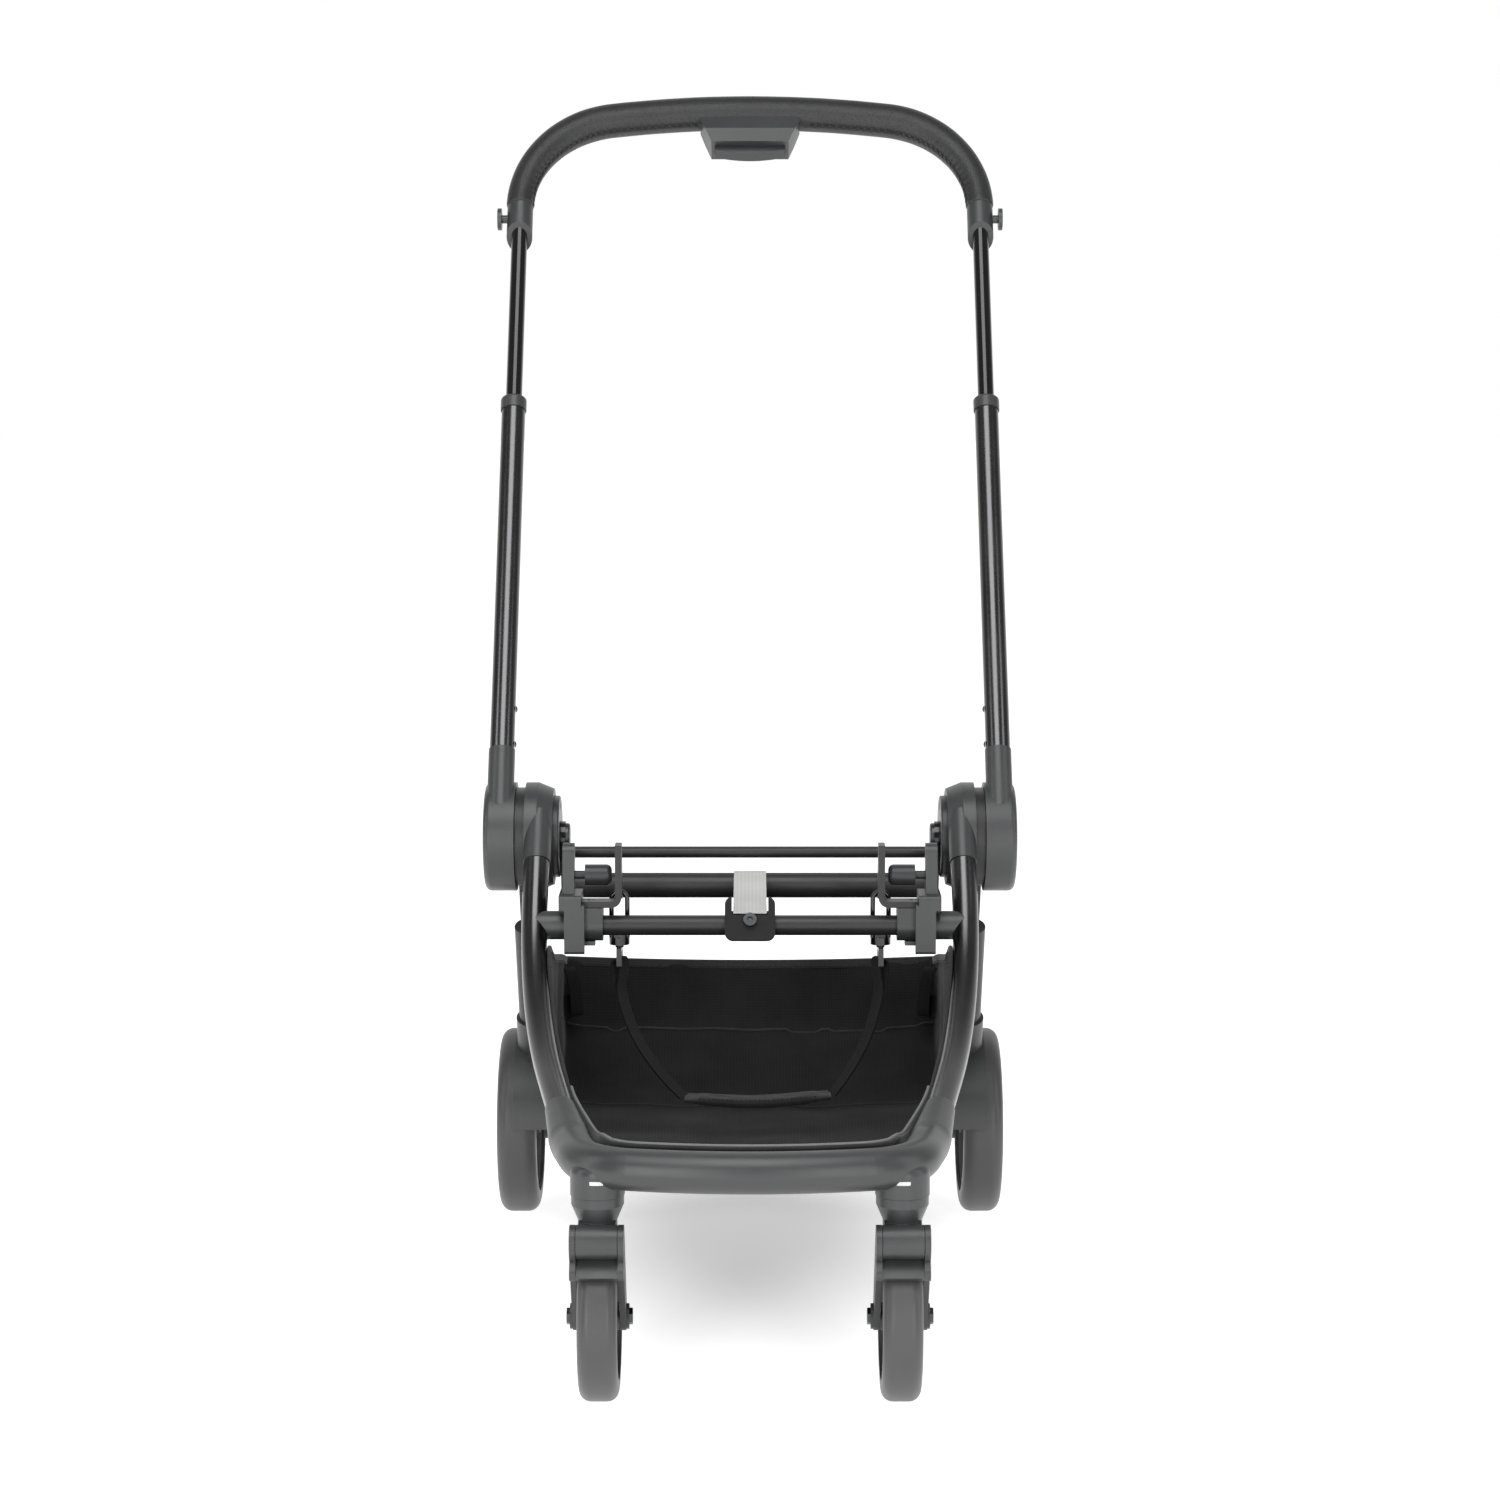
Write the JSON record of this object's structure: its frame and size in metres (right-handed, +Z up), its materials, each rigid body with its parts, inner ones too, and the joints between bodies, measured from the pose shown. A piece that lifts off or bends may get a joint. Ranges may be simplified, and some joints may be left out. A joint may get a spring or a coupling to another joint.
{
  "type": "car seat stroller frame",
  "caption": "Folding wheeled frame for an infant car seat: telescopic handle, fold hubs, swivel front casters, rear wheels, seat hooks and a cloth basket.",
  "frame": {"origin": "on the floor below the middle of the overall box, in the unfolded driving position", "axes": "+Z up, +Y towards the person who pushes, -Y is the front, +X the right-hand side seen from the front"},
  "size_m": [0.5304, 0.9254, 1.1576],
  "materials": {
    "satin_tube": "satin charcoal paint",
    "gloss_tube": "glossy black paint",
    "moulding": "fine-grained charcoal moulding",
    "gloss_moulding": "smooth black moulding",
    "hardware": "dark plated steel",
    "leatherette": "stitched charcoal leatherette",
    "cloth": "woven black cloth",
    "webbing": "silver-grey woven webbing",
    "tyre": "foamed dark grey tyre",
    "rim": "grey moulded rim"
  },
  "bodies": {
    "front_frame": {"front_leg_L": "satin_tube", "front_leg_R": "satin_tube", "front_rail": "moulding", "leg_hub_L": "moulding", "leg_hub_R": "moulding", "hub_covers": "gloss_moulding", "hub_screws": "hardware", "leg_knuckles": "moulding", "lower_cross_tube": "satin_tube", "seat_bracket_L": "moulding", "seat_bracket_R": "moulding", "hook_plates": "gloss_tube", "frame_bolts": "hardware", "strap_bracket": "moulding", "fold_strap": "webbing", "basket_floor": "cloth", "basket_back": "cloth", "basket_sides": "cloth", "basket_front": "cloth", "carry_strap": "cloth", "carry_pad": "cloth", "snap_hooks": "gloss_tube"},
    "handle_lower": {"handle_hub_L": "moulding", "handle_hub_R": "moulding", "handle_tube_L": "satin_tube", "handle_tube_R": "satin_tube", "tube_collars": "moulding", "handle_rivets": "hardware"},
    "handle_upper": {"inner_tube_L": "gloss_tube", "inner_tube_R": "gloss_tube", "handlebar": "satin_tube", "grip": "leatherette", "end_sleeves": "moulding", "button_housing": "moulding"},
    "fold_button": {"fold_button": "gloss_moulding"},
    "latch_plunger_L": {"latch_plunger_L": "gloss_moulding"},
    "latch_plunger_R": {"latch_plunger_R": "gloss_moulding"},
    "rear_frame": {"rear_leg_L": "satin_tube", "rear_leg_R": "satin_tube", "rear_links": "gloss_tube", "hub_shafts": "hardware", "upper_cross_tube": "satin_tube", "latch_rod": "satin_tube", "rear_axle": "satin_tube", "rear_housings": "moulding"},
    "rear_wheel_L": {"rear_tyre_L": "tyre", "rear_rim_L": "rim"},
    "rear_wheel_R": {"rear_tyre_R": "tyre", "rear_rim_R": "rim"},
    "brake_pedal": {"brake_pedal": "moulding"},
    "caster_L": {"caster_head_L": "moulding"},
    "caster_R": {"caster_head_R": "moulding"},
    "fork_L": {"caster_fork_L": "moulding", "front_axle_L": "hardware"},
    "fork_R": {"caster_fork_R": "moulding", "front_axle_R": "hardware"},
    "front_wheel_L": {"front_tyre_L": "tyre", "front_rim_L": "rim"},
    "front_wheel_R": {"front_tyre_R": "tyre", "front_rim_R": "rim"}
  },
  "joints": [
    {"name": "handle_fold", "type": "hinge", "parent": "front_frame", "child": "handle_lower", "pos_m": [0, 0.04224, 0.422], "axis": [1, 0, 0], "range_deg": [0, 135], "deforming": ["basket_floor", "basket_back", "basket_sides", "basket_front", "fold_strap"]},
    {"name": "rear_fold", "type": "hinge", "parent": "front_frame", "child": "rear_frame", "pos_m": [0, 0.04224, 0.422], "axis": [1, 0, 0], "range_deg": [-70, 0]},
    {"name": "handle_slide", "type": "slide", "parent": "handle_lower", "child": "handle_upper", "axis": [0, -0.5299, -0.848], "range_m": [0, 0.18]},
    {"name": "fold_button_press", "type": "slide", "parent": "handle_upper", "child": "fold_button", "axis": [0, 0.5299, 0.848], "range_m": [0, 0.005], "stiffness_N_per_m": 800, "springref_m": -0.002},
    {"name": "latch_plunger_L_slide", "type": "slide", "parent": "front_frame", "child": "latch_plunger_L", "axis": [-1, 0, 0], "range_m": [0, 0.008], "stiffness_N_per_m": 1000, "springref_m": -0.002},
    {"name": "rear_wheel_L_spin", "type": "hinge", "parent": "rear_frame", "child": "rear_wheel_L", "pos_m": [-0.238, 0.21924, 0.095], "axis": [1, 0, 0], "continuous": true},
    {"name": "caster_L_swivel", "type": "hinge", "parent": "front_frame", "child": "caster_L", "pos_m": [-0.1295, -0.41776, 0.189], "axis": [0, 0, 1], "continuous": true},
    {"name": "fork_L_suspension", "type": "hinge", "parent": "caster_L", "child": "fork_L", "pos_m": [-0.1295, -0.43676, 0.152], "axis": [1, 0, 0], "range_deg": [0, 10], "stiffness_Nm_per_rad": 20, "springref_deg": -8.59},
    {"name": "front_wheel_L_spin", "type": "hinge", "parent": "fork_L", "child": "front_wheel_L", "pos_m": [-0.1295, -0.38876, 0.0725], "axis": [1, 0, 0], "continuous": true},
    {"name": "latch_plunger_R_slide", "type": "slide", "parent": "front_frame", "child": "latch_plunger_R", "axis": [1, 0, 0], "range_m": [0, 0.008], "stiffness_N_per_m": 1000, "springref_m": -0.002},
    {"name": "rear_wheel_R_spin", "type": "hinge", "parent": "rear_frame", "child": "rear_wheel_R", "pos_m": [0.238, 0.21924, 0.095], "axis": [1, 0, 0], "continuous": true},
    {"name": "caster_R_swivel", "type": "hinge", "parent": "front_frame", "child": "caster_R", "pos_m": [0.1295, -0.41776, 0.189], "axis": [0, 0, 1], "continuous": true},
    {"name": "fork_R_suspension", "type": "hinge", "parent": "caster_R", "child": "fork_R", "pos_m": [0.1295, -0.43676, 0.152], "axis": [1, 0, 0], "range_deg": [0, 10], "stiffness_Nm_per_rad": 20, "springref_deg": -8.59},
    {"name": "front_wheel_R_spin", "type": "hinge", "parent": "fork_R", "child": "front_wheel_R", "pos_m": [0.1295, -0.38876, 0.0725], "axis": [1, 0, 0], "continuous": true},
    {"name": "brake_pedal_press", "type": "hinge", "parent": "rear_frame", "child": "brake_pedal", "pos_m": [0, 0.21924, 0.095], "axis": [1, 0, 0], "range_deg": [-20, 0]}
  ],
  "couplings": [
    {"joint": "rear_fold", "follows": "handle_fold", "ratio": -0.51852}
  ]
}
